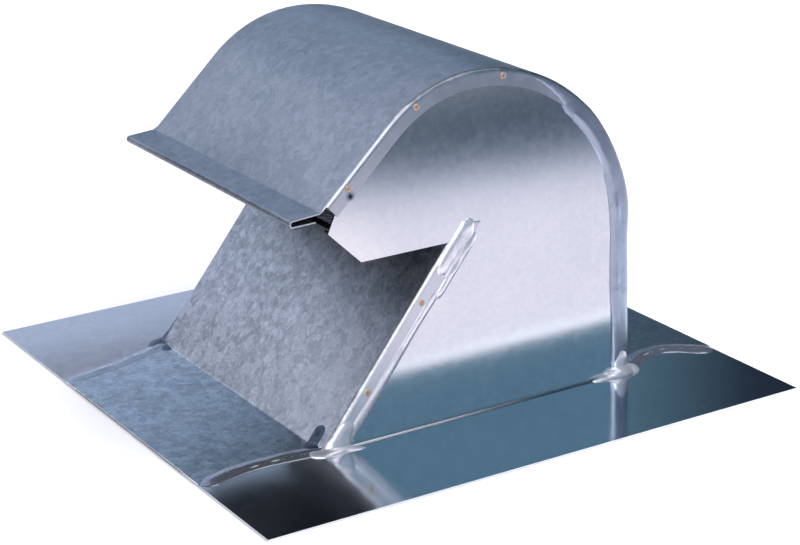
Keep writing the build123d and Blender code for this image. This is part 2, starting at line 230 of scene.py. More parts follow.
def makeHeatTintGroup():
    # Ring of heat colour round one weld
    tree, start, end = newGroup(
        "heatTint",
        [("Centre", "NodeSocketVector", None), ("Radius", "NodeSocketFloat", 4 * mm)],
        [("Mask", "NodeSocketFloat")],
    )
    links = tree.links
    coords = addNode(tree, "ShaderNodeTexCoord", -1200, -200)
    away = addNode(tree, "ShaderNodeVectorMath", -900, 0, operation="DISTANCE")
    links.new(coords.outputs["Object"], away.inputs[0])
    links.new(start.outputs["Centre"], away.inputs[1])
    ragged = addNode(tree, "ShaderNodeTexNoise", -900, -260, {"Scale": 420.0, "Detail": 3.0})
    links.new(coords.outputs["Object"], ragged.inputs["Vector"])
    push = mathNode(tree, "MULTIPLY", -700, -260, ragged.outputs["Fac"], 3 * mm)
    distance = mathNode(tree, "ADD", -500, 0, away.outputs["Value"], push)
    share = mathNode(tree, "DIVIDE", -300, 0, distance, start.outputs["Radius"])
    links.new(mapRange(tree, -100, 0, share, 0.35, 1.25, 1.0, 0.0, smooth=True), end.inputs["Mask"])
    return tree


spangleGroup = makeSpangleGroup()
stainGroup = makeStainGroup()
waveGroup = makeSheetWaveGroup()
tintGroup = makeHeatTintGroup()


# Spot weld places, read from the islands of the weld nodes

def weldCentres(nodeName):
    reach = 6 * mm  # wider than a weld, narrower than the gap between two
    centres = []
    for vertex in nodes[nodeName].data.vertices:
        for group in centres:
            if (group[0] - vertex.co).length < reach:
                group.append(vertex.co.copy())
                break
        else:
            centres.append([vertex.co.copy()])
    return [sum(group, Vector()) / len(group) for group in centres]


# Materials

def newMaterial(name):
    material = bpy.data.materials.new(name)
    material.use_nodes = True
    tree = material.node_tree
    shader = tree.nodes["Principled BSDF"]
    shader.location = (900, 0)
    tree.nodes["Material Output"].location = (1250, 0)
    return material, tree, shader


def normalMask(tree, x, y, direction, start, end):
    # 1 where the sheet's own face turns towards a direction, 0 elsewhere
    geometry = addNode(tree, "ShaderNodeNewGeometry", x - 400, y)
    facing = addNode(tree, "ShaderNodeVectorMath", x - 200, y, operation="DOT_PRODUCT")
    tree.links.new(geometry.outputs["True Normal"], facing.inputs[0])
    facing.inputs[1].default_value = direction
    return mapRange(tree, x, y, facing.outputs["Value"], start, end, 0.0, 1.0)


burnLook = {"color": rgb(0.01, 0.02, 0.03), "radius": 4.2 * mm}


def sheetMaterial(name, look, welds=(), burns=()):
    material, tree, shader = newMaterial(name)
    links = tree.links
    spangle = useGroup(tree, spangleGroup, -700, 300)
    spangle.inputs["Flake Scale"].default_value = look["flakeScale"]
    spangle.inputs["Streak Scale"].default_value = look["streakScale"]
    spangle.inputs["Softness"].default_value = look["softness"]
    stains = useGroup(tree, stainGroup, -700, 0)
    stains.inputs["Scale"].default_value = look["stainScale"]
    stains.inputs["Spread"].default_value = look["stainSpread"]
    wave = useGroup(tree, waveGroup, -700, -250)

    # Brightness: flakes, their streaks, and slow clouds
    flake = mapRange(tree, -450, 400, spangle.outputs["Flake"], 0.2, 0.8, -1.0, 1.0)
    flake = mathNode(tree, "MULTIPLY", -250, 400, flake, look["flakeContrast"])
    streak = mapRange(tree, -450, 200, spangle.outputs["Streak"], 0.35, 0.68, -1.0, 1.0)
    streak = mathNode(tree, "MULTIPLY", -250, 200, streak, look["streakContrast"])
    cloud = mapRange(tree, -450, 0, stains.outputs["Cloud"], 0.3, 0.7, -1.0, 1.0)
    cloud = mathNode(tree, "MULTIPLY", -250, 0, cloud, look["cloudContrast"])
    lines = mapRange(tree, -450, -150, wave.outputs["Lines"], 0.3, 0.7, -1.0, 1.0)
    lines = mathNode(tree, "MULTIPLY", -250, -150, lines, look["lineContrast"])
    total = mathNode(tree, "ADD", -50, 300, flake, streak)
    total = mathNode(tree, "ADD", 100, 300, total, cloud)
    total = mathNode(tree, "ADD", 100, 100, total, lines)
    share = mathNode(tree, "MULTIPLY_ADD", 250, 300, total, 0.5)
    share.node.inputs[2].default_value = 0.5
    color = mixColor(tree, 420, 300, share, look["dark"], look["light"])
    stainFactor = mathNode(tree, "MULTIPLY", 250, 60, stains.outputs["Mask"], look["stainAmount"])
    color = mixColor(tree, 580, 300, stainFactor, color, look["stain"])

    # The faces turned to the sides are wiped with solder; the faces turned inwards get a painted shade
    sideways = normalMask(tree, 0, -700, (1, 0, 0), 0.80, 0.99)
    otherWay = normalMask(tree, 0, -900, (-1, 0, 0), 0.80, 0.99)
    eitherWay = mathNode(tree, "ADD", 100, -800, sideways, otherWay)
    lap = mathNode(tree, "MULTIPLY", 200, -800, eitherWay, look["lapAmount"])
    color = mixColor(tree, 660, 300, lap, color, look["lap"])
    # faces turned straight up are multiplied by the flat colour: painted shade, darker and bluer as less
    # light falls on them
    flat = normalMask(tree, 0, -1300, (0, 0, 1), 0.95, 0.999)
    flatShadeAmount = mathNode(tree, "MULTIPLY", 200, -1400, flat, look["flatShadeAmount"])
    color = mixColor(tree, 680, 300, flatShadeAmount, color, look["flat"], "MULTIPLY")
    inside = normalMask(tree, 0, -1100, look["insideFacing"], 0.05, 0.35)
    insideAmount = mathNode(tree, "MULTIPLY", 200, -1100, inside, look["insideAmount"])
    color = mixColor(tree, 700, 300, insideAmount, color, look["inside"])
    for number, centre in enumerate(welds):
        down = -300 - 160 * number
        tint = useGroup(tree, tintGroup, 250, down)
        tint.inputs["Centre"].default_value = centre
        tint.inputs["Radius"].default_value = look["tintRadius"]
        amount = mathNode(tree, "MULTIPLY", 420, down, tint.outputs["Mask"], look["tintAmount"])
        color = mixColor(tree, 740, 300 - 60 * number, amount, color, look["tint"])
    for number, centre in enumerate(burns):
        burn = useGroup(tree, tintGroup, 600, -300 - 160 * number)
        burn.inputs["Centre"].default_value = centre
        burn.inputs["Radius"].default_value = burnLook["radius"]
        color = mixColor(tree, 820, 300 - 60 * number, burn.outputs["Mask"], color, burnLook["color"])
    links.new(color, shader.inputs["Base Color"])

    rough = mathNode(tree, "MULTIPLY", 250, -100, flake, look["roughVary"])
    rough = mathNode(tree, "ADD", 420, -100, rough, look["roughness"])
    stainRough = mathNode(tree, "MULTIPLY", 420, 0, stainFactor, 0.25)
    rough = mathNode(tree, "ADD", 580, -60, rough, stainRough)
    flatRough = mathNode(tree, "MULTIPLY", 200, -1300, flat, look["flatRough"])
    rough = mathNode(tree, "ADD", 660, -60, rough, flatRough)
    lapRough = mathNode(tree, "MULTIPLY", 300, -800, lap, look["lapRough"])
    rough = mathNode(tree, "ADD", 740, -60, rough, lapRough)
    links.new(mathNode(tree, "MAXIMUM", 820, -60, rough, 0.05), shader.inputs["Roughness"])
    shader.inputs["Metallic"].default_value = look["metallic"]

    fine = addNode(tree, "ShaderNodeBump", 580, -350)
    fine.inputs["Strength"].default_value = look["grainBump"]
    fine.inputs["Distance"].default_value = 0.08 * mm
    links.new(spangle.outputs["Grain"], fine.inputs["Height"])
    slow = addNode(tree, "ShaderNodeBump", 740, -350)
    slow.inputs["Strength"].default_value = look["waveBump"]
    slow.inputs["Distance"].default_value = 1.0 * mm
    links.new(wave.outputs["Wave"], slow.inputs["Height"])
    links.new(fine.outputs["Normal"], slow.inputs["Normal"])
    links.new(slow.outputs["Normal"], shader.inputs["Normal"])
    return material


# The inside colour and its amount in each look paint shade on the faces turned into the vent
hoodLook = {
    "dark": rgb(0.36, 0.40, 0.46), "light": rgb(0.62, 0.65, 0.71), "stain": rgb(0.34, 0.38, 0.44),
    "flakeScale": 230.0, "streakScale": 700.0, "softness": 0.4,
    "flakeContrast": 0.5, "streakContrast": 0.3, "cloudContrast": 0.3, "lineContrast": 0.05,
    "stainScale": 16.0, "stainSpread": 0.56, "stainAmount": 0.25,
    "roughness": 0.42, "roughVary": 0.05, "metallic": 1.0, "grainBump": 0.15, "waveBump": 0.25,
    "flat": rgb(1, 1, 1), "flatShadeAmount": 0.0, "flatRough": -0.05,
    "lap": rgb(0.66, 0.70, 0.79), "lapAmount": 0.8, "lapRough": -0.12,
    "inside": rgb(0.04, 0.06, 0.09), "insideFacing": (0, 0.25, -1), "insideAmount": 0.9,
    "tint": rgb(0.50, 0.38, 0.30), "tintRadius": 3.5 * mm, "tintAmount": 0.5,
}
panelLook = {
    "dark": rgb(0.36, 0.39, 0.43), "light": rgb(0.86, 0.88, 0.94), "stain": rgb(0.24, 0.28, 0.32),
    "flakeScale": 190.0, "streakScale": 560.0, "softness": 0.35,
    "flakeContrast": 0.55, "streakContrast": 0.5, "cloudContrast": 0.2, "lineContrast": 0.0,
    "stainScale": 18.0, "stainSpread": 0.58, "stainAmount": 0.2,
    "roughness": 0.36, "roughVary": 0.06, "metallic": 1.0, "grainBump": 0.15, "waveBump": 0.3,
    # flat colour: painted shade on the panel's upward faces
    "flat": rgb(0.80, 0.93, 1.0), "flatShadeAmount": 1.0, "flatRough": 0.0,
    "lap": rgb(0.82, 0.84, 0.92), "lapAmount": 0.9, "lapRough": 0.12,
    "inside": rgb(0.04, 0.06, 0.09), "insideFacing": (0, 1, -0.6), "insideAmount": 0.95,
    "tint": rgb(0.60, 0.44, 0.34), "tintRadius": 3.2 * mm, "tintAmount": 0.35,
}
rightLook = {
    "dark": rgb(0.66, 0.70, 0.75), "light": rgb(0.84, 0.87, 0.92), "stain": rgb(0.45, 0.50, 0.56),
    "flakeScale": 300.0, "streakScale": 900.0, "softness": 0.6,
    "flakeContrast": 0.25, "streakContrast": 0.25, "cloudContrast": 0.2, "lineContrast": 0.08,
    "stainScale": 20.0, "stainSpread": 0.6, "stainAmount": 0.12,
    "roughness": 0.15, "roughVary": 0.03, "metallic": 1.0, "grainBump": 0.12, "waveBump": 0.3,
    "flat": rgb(1, 1, 1), "flatShadeAmount": 0.0, "flatRough": -0.04,
    "lap": rgb(0.6, 0.6, 0.6), "lapAmount": 0.0, "lapRough": 0.0,
    "inside": rgb(0.04, 0.06, 0.09), "insideFacing": (-1, 0, 0), "insideAmount": 0.95,
    "tint": rgb(0.78, 0.62, 0.52), "tintRadius": 4.5 * mm, "tintAmount": 0.45,
}
leftLook = dict(rightLook, insideFacing=(1, 0, 0))


def solderMaterial(name, look):
    material, tree, shader = newMaterial(name)
    links = tree.links
    stains = useGroup(tree, stainGroup, -500, 200)
    stains.inputs["Scale"].default_value = look["skinScale"]
    stains.inputs["Spread"].default_value = 0.52
    links.new(mixColor(tree, 300, 200, stains.outputs["Mask"], look["light"], look["dark"]),
              shader.inputs["Base Color"])
    rough = mathNode(tree, "MULTIPLY", 0, 0, stains.outputs["Mask"], look["roughVary"])
    links.new(mathNode(tree, "ADD", 200, 0, rough, look["roughness"]), shader.inputs["Roughness"])
    shader.inputs["Metallic"].default_value = look["metallic"]
    coords = addNode(tree, "ShaderNodeTexCoord", -500, -300)
    ripple = addNode(tree, "ShaderNodeTexNoise", -200, -300, {"Scale": look["rippleScale"], "Detail": 2.0})
    links.new(coords.outputs["Object"], ripple.inputs["Vector"])
    bump = addNode(tree, "ShaderNodeBump", 200, -300, {"Strength": look["ripple"], "Distance": 0.4 * mm})
    links.new(ripple.outputs["Fac"], bump.inputs["Height"])
    links.new(bump.outputs["Normal"], shader.inputs["Normal"])
    return material


def weldMaterial():
    look = {"core": rgb(0.46, 0.27, 0.15), "rim": rgb(0.66, 0.57, 0.49), "roughness": 0.38}
    material, tree, shader = newMaterial("weldScale")
    links = tree.links
    ring = addNode(tree, "ShaderNodeAttribute", -500, 200, attribute_name="weldRadius")
    burn = addNode(tree, "ShaderNodeTexNoise", -500, -100, {"Scale": 900.0, "Detail": 3.0})
    coords = addNode(tree, "ShaderNodeTexCoord", -700, -100)
    links.new(coords.outputs["Object"], burn.inputs["Vector"])
    push = mathNode(tree, "MULTIPLY", -300, -100, burn.outputs["Fac"], 0.5)
    share = mathNode(tree, "ADD", -100, 100, ring.outputs["Fac"], push)
    toRim = mapRange(tree, 50, 100, share, 0.6, 1.2, 0.0, 1.0)
    color = mixColor(tree, 200, 200, toRim, look["core"], look["rim"])
    links.new(color, shader.inputs["Base Color"])
    shader.inputs["Roughness"].default_value = look["roughness"]
    shader.inputs["Metallic"].default_value = 0.7
    return material


def wireMaterial():
    # Darker than bare zinc wire: painted shade for the screen under the hood
    look = {"dark": rgb(0.14, 0.15, 0.17), "light": rgb(0.26, 0.28, 0.31), "roughness": 0.42}
    material, tree, shader = newMaterial("shadedZincWire")
    links = tree.links
    spangle = useGroup(tree, spangleGroup, -500, 200)
    spangle.inputs["Flake Scale"].default_value = 500.0
    color = mixColor(tree, 200, 200, spangle.outputs["Flake"], look["dark"], look["light"])
    links.new(color, shader.inputs["Base Color"])
    shader.inputs["Roughness"].default_value = look["roughness"]
    shader.inputs["Metallic"].default_value = 0.9
    return material


def dress(objectToDress, material):
    objectToDress.data.materials.clear()
    objectToDress.data.materials.append(material)


rightWelds = weldCentres("hood_spot_welds_right")
leftWelds = weldCentres("hood_spot_welds_left")
rightPanelWelds = weldCentres("panel_spot_welds_right")
leftPanelWelds = weldCentres("panel_spot_welds_left")
# one weld scorched the sheet beside itself
burnPlace = min(rightWelds, key=lambda centre: centre.y) + Vector((0, 1.2 * mm, -4.5 * mm))
hoodZinc = sheetMaterial("hoodZinc", hoodLook, rightWelds + leftWelds, [burnPlace])
panelZinc = sheetMaterial("panelZinc", panelLook, rightPanelWelds + leftPanelWelds)
rightZinc = sheetMaterial("rightCheekZinc", rightLook, rightWelds, [burnPlace])
leftZinc = sheetMaterial("leftCheekZinc", leftLook, leftWelds)
brightLook = {
    "dark": rgb(0.70, 0.73, 0.81), "light": rgb(0.90, 0.91, 0.98), "metallic": 0.84,
    "roughness": 0.30, "roughVary": 0.08, "skinScale": 70.0, "rippleScale": 220.0, "ripple": 0.08,
}
brightSolder = solderMaterial("brightSolder", brightLook)
# Seam and flange solder are darker copies of the bright solder: painted shade for the dark surroundings
# they reflect
seamLook = dict(brightLook, dark=rgb(0.29, 0.35, 0.45), light=rgb(0.38, 0.44, 0.55), metallic=0.92,
                roughness=0.30)
seamSolder = solderMaterial("seamSolder", seamLook)
flangeLook = dict(seamLook, dark=rgb(0.38, 0.43, 0.53), light=rgb(0.50, 0.55, 0.65), roughness=0.24,
                  ripple=0.14)
flangeSolder = solderMaterial("flangeSolder", flangeLook)
# A dark copy of the solder, a painted shade, for the far front foot and the runs up the panel
shadedSolderLook = dict(brightLook, dark=rgb(0.08, 0.11, 0.16), light=rgb(0.18, 0.23, 0.31), metallic=1.0,
                  roughness=0.42)
shadedSolder = solderMaterial("shadedSolder", shadedSolderLook)
weldScale = weldMaterial()
shadedZincWire = wireMaterial()
dress(nodes["hood_wrapper"], hoodZinc)
dress(nodes["front_panel"], panelZinc)
dress(nodes["right_cheek"], rightZinc)
dress(nodes["left_cheek"], leftZinc)
for name, node in nodes.items():
    if name.startswith("screen_"):
        dress(node, brightSolder if "tacks" in name else shadedZincWire)
print("materials done")


# Solder

def newPiece(name, mesh, material, slotName, *replaced):
    piece = bpy.data.objects.new(name, mesh)
    bpy.context.scene.collection.objects.link(piece)
    dress(piece, material)
    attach(piece, "root")
    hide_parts(*replaced)


def addDrop(mesh, centre, along, up, radii, sink=0.45):
    # One flattened drop of solder: radii are along the run, across it and up from the sheet.
    # Its middle is sunk into the sheet, so that the edge feathers out
    along = along.normalized()
    up = (up - along * up.dot(along)).normalized()
    across = up.cross(along)
    turn = Matrix((along, across, up)).transposed().to_4x4()
    spread = 1 / math.sqrt(1 - sink * sink)
    tall = radii[2] / (1 - sink)
    size = Matrix.Diagonal((radii[0] * spread, radii[1] * spread, tall, 1.0))
    place = Matrix.Translation(centre - up * tall * sink)
    bmesh.ops.create_icosphere(mesh, subdivisions=3, radius=1.0, matrix=place @ turn @ size)


def addRun(mesh, points, up, settings, seed):
    # Drops along a line of points, swelling and shrinking as a hand-run bead does
    lengths = [0.0]
    for first, second in zip(points, points[1:]):
        lengths.append(lengths[-1] + (second - first).length)
    travel = 0.0
    while travel <= lengths[-1]:
        index = max(i for i, length in enumerate(lengths) if length <= travel)
        index = min(index, len(points) - 2)
        span = lengths[index + 1] - lengths[index]
        share = (travel - lengths[index]) / span
        along = points[index + 1] - points[index]
        place = points[index].lerp(points[index + 1], share)
        place = place + up.cross(along.normalized()) * settings["wander"] * noise.noise(
            Vector((travel / settings["swell"], seed, 4.0)))
        swell = noise.noise(Vector((travel / settings["swell"], seed, 0.0)))
        lump = noise.noise(Vector((travel / settings["swell"] * 2.3, seed, 9.0)))
        width = settings["width"] / 2 * (1 + 0.3 * swell)
        height = settings["height"] * (1 + 0.35 * lump)
        addDrop(mesh, place, along, up, (settings["length"], width, height))
        travel += settings["step"]


def pourSolder(name, build, keepOutside, settings):
    # Melts the drops into one skin, then presses it onto the sheets
    mesh = bmesh.new()
    build(mesh)
    data = bpy.data.meshes.new(name)
    mesh.to_mesh(data)
    mesh.free()
    piece = bpy.data.objects.new(name + "_drops", data)
    bpy.context.scene.collection.objects.link(piece)
    melt = piece.modifiers.new("melt", "REMESH")
    melt.mode = "VOXEL"
    melt.voxel_size = settings["voxel"]
    flow = piece.modifiers.new("flow", "SMOOTH")
    flow.factor = 0.5
    flow.iterations = settings["flow"]
    graph = bpy.context.evaluated_depsgraph_get()
    poured = bpy.data.meshes.new_from_object(piece.evaluated_get(graph))
    bpy.data.objects.remove(piece)
    for vertex in poured.vertices:
        vertex.co = keepOutside(vertex.co)
    for polygon in poured.polygons:
        polygon.use_smooth = True
    poured.name = name
    return poured


# Solder runs, side by side with the sheets they join

def side(sideSign, x, y, z):
    return Vector((sideSign * x, y, z))


footSpread = 7.5 * mm  # how far the rear foot's solder reaches past the back wall
footLead = 2.5 * mm  # how far the front foot's reaches in front of the panel
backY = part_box("rear_foot_solder_right")[1].y - footSpread  # outer face of the back wall
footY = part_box("front_foot_solder_right")[0].y + footLead  # foot of the front panel
hoodCentre = Vector((0.0, backY - halfThroat, crownZ - halfThroat))
notchLow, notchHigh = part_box("notch_solder_right")
panelTilt = math.radians(51.0)
slopeRun = Vector((0.0, math.cos(panelTilt), math.sin(panelTilt)))
slopeOut = Vector((0.0, -math.sin(panelTilt), math.cos(panelTilt)))


def onSlope(along, inward=0.0):
    # Side-view point on the front panel: distance up its outer face, and in from it
    return Vector((0.0, footY, 2 * sheet)) + slopeRun * along - slopeOut * inward


def outsideShell(sideSign):
    # Keeps solder on the outer skin: nothing inside the throat, under the flashing or past its edges
    faceX = halfThroat - sheet / 2
    edgeMargin = 0.2 * mm

    def keep(point):
        x, y, z = sideSign * point.x, point.y, point.z
        inCheek = faceX - x
        inBack = backY - sheet / 2 - y
        inPanel = -(Vector((0.0, y, z)) - onSlope(0.0)).dot(slopeOut) - sheet / 2
        if inCheek > 0 and inBack > 0 and inPanel > 0:
            if inCheek <= inBack and inCheek <= inPanel:
                x = faceX
            elif inBack <= inPanel:
                y = backY - sheet / 2
            else:
                y += slopeOut.y * inPanel
                z += slopeOut.z * inPanel
        y = min(max(y, edgeMargin - rearY), rearY - edgeMargin)
        return Vector((sideSign * x, y, max(z, sheet / 2)))

    return keep


solderFlow = {"voxel": 0.65 * mm, "flow": 22}
streakFlow = {"voxel": 0.4 * mm, "flow": 6}


def runSettings(width, height, length, step, swell, wander):
    # How one run is made, in mm: its section, its drops' length and spacing, and how it varies
    names = ("width", "height", "length", "step", "swell", "wander")
    return {name: size * mm for name, size in zip(names, (width, height, length, step, swell, wander))}


rearBead = runSettings(6.5, 2.1, 11.0, 2.5, 34, 0.8)
rearCoat = runSettings(12.0, 1.0, 12.0, 3.0, 40, 0.6)
flangeBead = runSettings(5.0, 1.5, 9.0, 2.5, 26, 0.9)
flangeCoat = runSettings(13.0, 1.0, 10.0, 3.0, 30, 1.0)
highlightBead = runSettings(2.2, 0.9, 6.0, 2.5, 9, 0.9)
notchEdge = runSettings(6.0, 1.6, 7.0, 2.0, 18, 0.6)
notchCap = runSettings(9.0, 1.2, 6.0, 2.0, 20, 0.4)
lapSkin = runSettings(7.0, 1.3, 12.0, 3.0, 50, 0.3)


def onShoulder(sideSign, inset, turn):
    # Point on the cheek inside the hood's round shoulder, turned up from the back wall
    reach = halfThroat - inset
    y = hoodCentre.y + reach * math.cos(turn)
    return side(sideSign, halfThroat, y, hoodCentre.z + reach * math.sin(turn))


def rearSeamPoints(sideSign, inset, top):
    # Up the back corner from just over the foot, then round the shoulder to an angle
    straight, curved = 12, 24
    foot = 6 * mm
    points = []
    for step in range(straight):
        z = foot + step * (hoodCentre.z - foot) / straight
        points.append(side(sideSign, halfThroat, backY - inset, z))
    for step in range(curved + 1):
        points.append(onShoulder(sideSign, inset, math.radians(top) * step / curved))
    return points


def arcPoints(first, middle, last, count=24):
    # Curve through three points, with its middle point half way along
    points = []
    for step in range(count + 1):
        t = step / count
        points.append(first * (1 - t) * (1 - 2 * t) + middle * 4 * t * (1 - t) + last * t * (2 * t - 1))
    return points


upright = Vector((0, 0, 1))


def dab(mesh, place, along, up, radii, sink):
    # One drop, with its radii in mm
    addDrop(mesh, place, along, up, [radius * mm for radius in radii], sink)


def pour(name, build, keep, material, *replaced, flow=solderFlow):
    newPiece(name, pourSolder(name, build, keep, flow), material, "solder", *replaced)


rearSeam = {
    "beadInset": 8.6 * mm, "beadTop": 44, "coatInset": 6.4 * mm, "coatTop": 47, "lift": 0.6 * mm,
    "thinFrom": 48, "thinStep": 4, "thinDrops": 5, "half": 5.0, "thinning": 0.8,  # degrees and mm
}


def pourRearSeam(sideSign, hand, outward, keep, seed):
    look = rearSeam
    lift = outward * look["lift"]

    def build(mesh):
        bead = rearSeamPoints(sideSign, look["beadInset"], look["beadTop"])
        coat = rearSeamPoints(sideSign, look["coatInset"], look["coatTop"])
        addRun(mesh, bead, outward, rearBead, seed)
        addRun(mesh, [point + lift for point in coat], outward, rearCoat, seed + 5)
        # the coat thins out towards the crown, along the edge of the wrapper
        for step in range(look["thinDrops"]):
            turn = math.radians(look["thinFrom"] + look["thinStep"] * step)
            half = look["half"] - look["thinning"] * step
            place = onShoulder(sideSign, half * mm + look["lift"], turn) + lift
            along = Vector((0, -math.sin(turn), math.cos(turn)))
            dab(mesh, place, along, outward, (8, half, 0.8), 0.45)

    pour("rearSeam_" + hand, build, keep, seamSolder, "rear_seam_solder_" + hand)


# Drops at each foot: place from the corner in mm, run, up, radii in mm and sink. The first of each
# place and direction counts outwards
footDrops = {
    "rear": (
        ((0, 0, 8), (0, 0, 1), (1, 0, 0), (10, 6, 3), 0.25),
        ((0, -1, 2), (0, 1, 0), (0, 0, 1), (10, 6.5, 3.4), 0.2),
        ((2, -10, 1), (0, 1, 0), (0, 0, 1), (11, 3, 1.3), 0.25),
    ),
    "front": (
        ((1, 1, 0.7), (0, 1, 0), (0, 0, 1), (13, 5.5, 2.6), 0.2),
        ((3, 9, 0.7), (0.3, 1, 0), (0, 0, 1), (11, 3.5, 1), 0.25),
        ((0, -8, 0.7), (1, 1, 0), (0, 0, 1), (8, 5, 1.8), 0.25),
    ),
}


def pourFoot(end, sideSign, hand, outward, keep, material):
    def build(mesh):
        if end == "rear":
            corner = side(sideSign, halfThroat, backY - 6 * mm, 0.0)
        else:
            corner = side(sideSign, halfOuter, footY + 5 * mm, 0.0)
            # the foot of the lap is wiped over, thickest at its end
            lapFoot = side(sideSign, halfOuter, 0, 0) + onSlope(11 * mm, 6 * mm)
            dab(mesh, lapFoot, slopeRun, outward, (12, 6, 1.5), 0.25)
            dab(mesh, lapFoot - slopeRun * 7 * mm, slopeRun, outward, (8, 7, 2.8), 0.2)
        for place, along, up, radii, sink in footDrops[end]:
            place = corner + side(sideSign, *(value * mm for value in place))
            dab(mesh, place, side(sideSign, *along), side(sideSign, *up), radii, sink)
        if end == "rear":
            # wiped round behind the back wall
            behind = side(sideSign, halfThroat - 1 * mm, backY + 3 * mm, 1.2 * mm)
            dab(mesh, behind, Vector((1, 0, 0)), upright, (6, 5, 3), 0.25)

    pour(f"{end}Foot_{hand}", build, keep, material, f"{end}_foot_solder_{hand}")


def pourFlangeSeam(end, sideSign, hand, outward, keep, seed):
    low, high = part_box(f"{end}_flange_solder_{hand}")
    toEdge, startY = (1, backY) if end == "rear" else (-1, footY)
    edgeY = toEdge * rearY
    # the bead's middle line: its width is taken off each side of the node's box
    halfBead = 4.5 * mm
    innerX = min(abs(low.x), abs(high.x)) + halfBead
    outerX = max(abs(low.x), abs(high.x)) - halfBead
    if end == "rear":
        xs = (halfThroat - 4 * mm, innerX, halfThroat - 2.5 * mm)
    elif hand == "right":
        xs = (halfThroat - 4 * mm, innerX, halfThroat - 2 * mm)
    else:
        xs = (outerX, (innerX + outerX) / 2 - 3 * mm, innerX)
    ys = (startY + toEdge * 2 * mm, (startY + edgeY) / 2, edgeY - toEdge * 8 * mm)
    points = arcPoints(*[side(sideSign, x, y, 1.1 * mm) for x, y in zip(xs, ys)])

    def buildFlange(mesh):
        addRun(mesh, points, upright, flangeBead, seed + 11)
        addRun(mesh, points, upright, flangeCoat, seed + 17)

    def buildHighlight(mesh):
        # a bright run on the bead's outer side, a painted highlight, short of the flashing's edge
        addRun(mesh, [point + outward * 3 * mm for point in points[:18]], upright, highlightBead, seed + 37)

    pour(f"{end}Flange_{hand}", buildFlange, keep, flangeSolder, f"{end}_flange_solder_{hand}")
    pour(f"{end}Streak_{hand}", buildHighlight, keep, brightSolder, flow=streakFlow)


def pourTongue(sideSign, hand, keep):
    # dark solder run up the panel from its foot, its darkness a painted shade: broad on one side, a thin
    # run on the other
    def build(mesh):
        if hand == "right":
            for along in range(0, 10, 2):
                place = side(sideSign, halfThroat - 12 * mm, 0, 0) + onSlope(along * mm)
                dab(mesh, place, slopeRun, slopeOut, (5, 5.8, 0.7), 0.25)
        else:
            for step in range(12):
                taper = 1 - step / 14
                place = side(sideSign, halfThroat - 1.2 * mm, 0, 0) + onSlope((2 + 2.6 * step) * mm)
                dab(mesh, place, slopeRun, slopeOut, (4, 1.8 * taper, 0.7 * taper), 0.45)
        foot = side(sideSign, halfThroat - 8 * mm, footY - 2 * mm, 2 * sheet)
        dab(mesh, foot, Vector((1, 0, 0)), upright, (9, 4.5, 0.9), 0.45)

    pour("shadedTongue_" + hand, build, keep, shadedSolder)


# Runs up the front panel's laps. Insets are in from the panel's face
lapRuns = {
    "edgeInset": 12.5 * mm, "edgeStart": 15 * mm, "edgeDrop": 8 * mm,
    "capInset": 5.5 * mm, "capLow": 22 * mm, "capHigh": 3 * mm,
    "skinInset": 10 * mm, "skinStart": 8 * mm, "skinEnd": 8 * mm,
}


def pourLapRuns(sideSign, hand, outward, keep, seed):
    rise = slopeRun.z
    onCheek = side(sideSign, halfThroat, 0, 0)
    onLap = side(sideSign, halfOuter, 0, 0)
    runs = lapRuns

    def buildNotch(mesh):
        low = (notchLow.z + 2 * mm) / rise + runs["edgeStart"]
        high = notchHigh.z / rise - runs["edgeDrop"]
        edge = [onCheek + onSlope(along, runs["edgeInset"]) for along in (low, high)]
        low = (notchHigh.z - runs["capLow"]) / rise
        high = (notchHigh.z - runs["capHigh"]) / rise + 1 * mm
        cap = [onLap + onSlope(along, runs["capInset"]) for along in (low, high)]
        addRun(mesh, edge, outward, notchEdge, seed + 23)
        addRun(mesh, cap, outward, notchCap, seed + 29)

    def buildLapSkin(mesh):
        # the lap's own edge is wiped over too, thinner than the runs at its ends
        high = (notchLow.z + runs["skinEnd"]) / rise
        skin = [onCheek + onSlope(along, runs["skinInset"]) for along in (runs["skinStart"], high)]
        addRun(mesh, skin, outward, lapSkin, seed + 31)

    pour("notchRuns_" + hand, buildNotch, keep, brightSolder, "notch_solder_" + hand)
    pour("lapSkin_" + hand, buildLapSkin, keep, brightSolder)


for sideSign, hand in ((1, "right"), (-1, "left")):
    keep = outsideShell(sideSign)
    outward = Vector((sideSign, 0, 0))
    seed = 3.0 + sideSign
    pourRearSeam(sideSign, hand, outward, keep, seed)
    pourFoot("rear", sideSign, hand, outward, keep, brightSolder)
    pourFlangeSeam("rear", sideSign, hand, outward, keep, seed)
    pourFlangeSeam("front", sideSign, hand, outward, keep, seed)
    # the far front foot takes the dark solder: painted shade
    pourFoot("front", sideSign, hand, outward, keep, brightSolder if hand == "right" else shadedSolder)
    pourTongue(sideSign, hand, keep)
    pourLapRuns(sideSign, hand, outward, keep, seed)
print("solder poured")


# Spot welds: a pressed middle with a raised, ragged rim

weldShape = {
    "radii": (0.0, 0.5, 0.9, 1.2, 1.6, 2.0), "heights": (0.06, 0.07, 0.16, 0.24, 0.18, 0.0),  # mm
    "turns": 36, "wobble": 0.12,
}


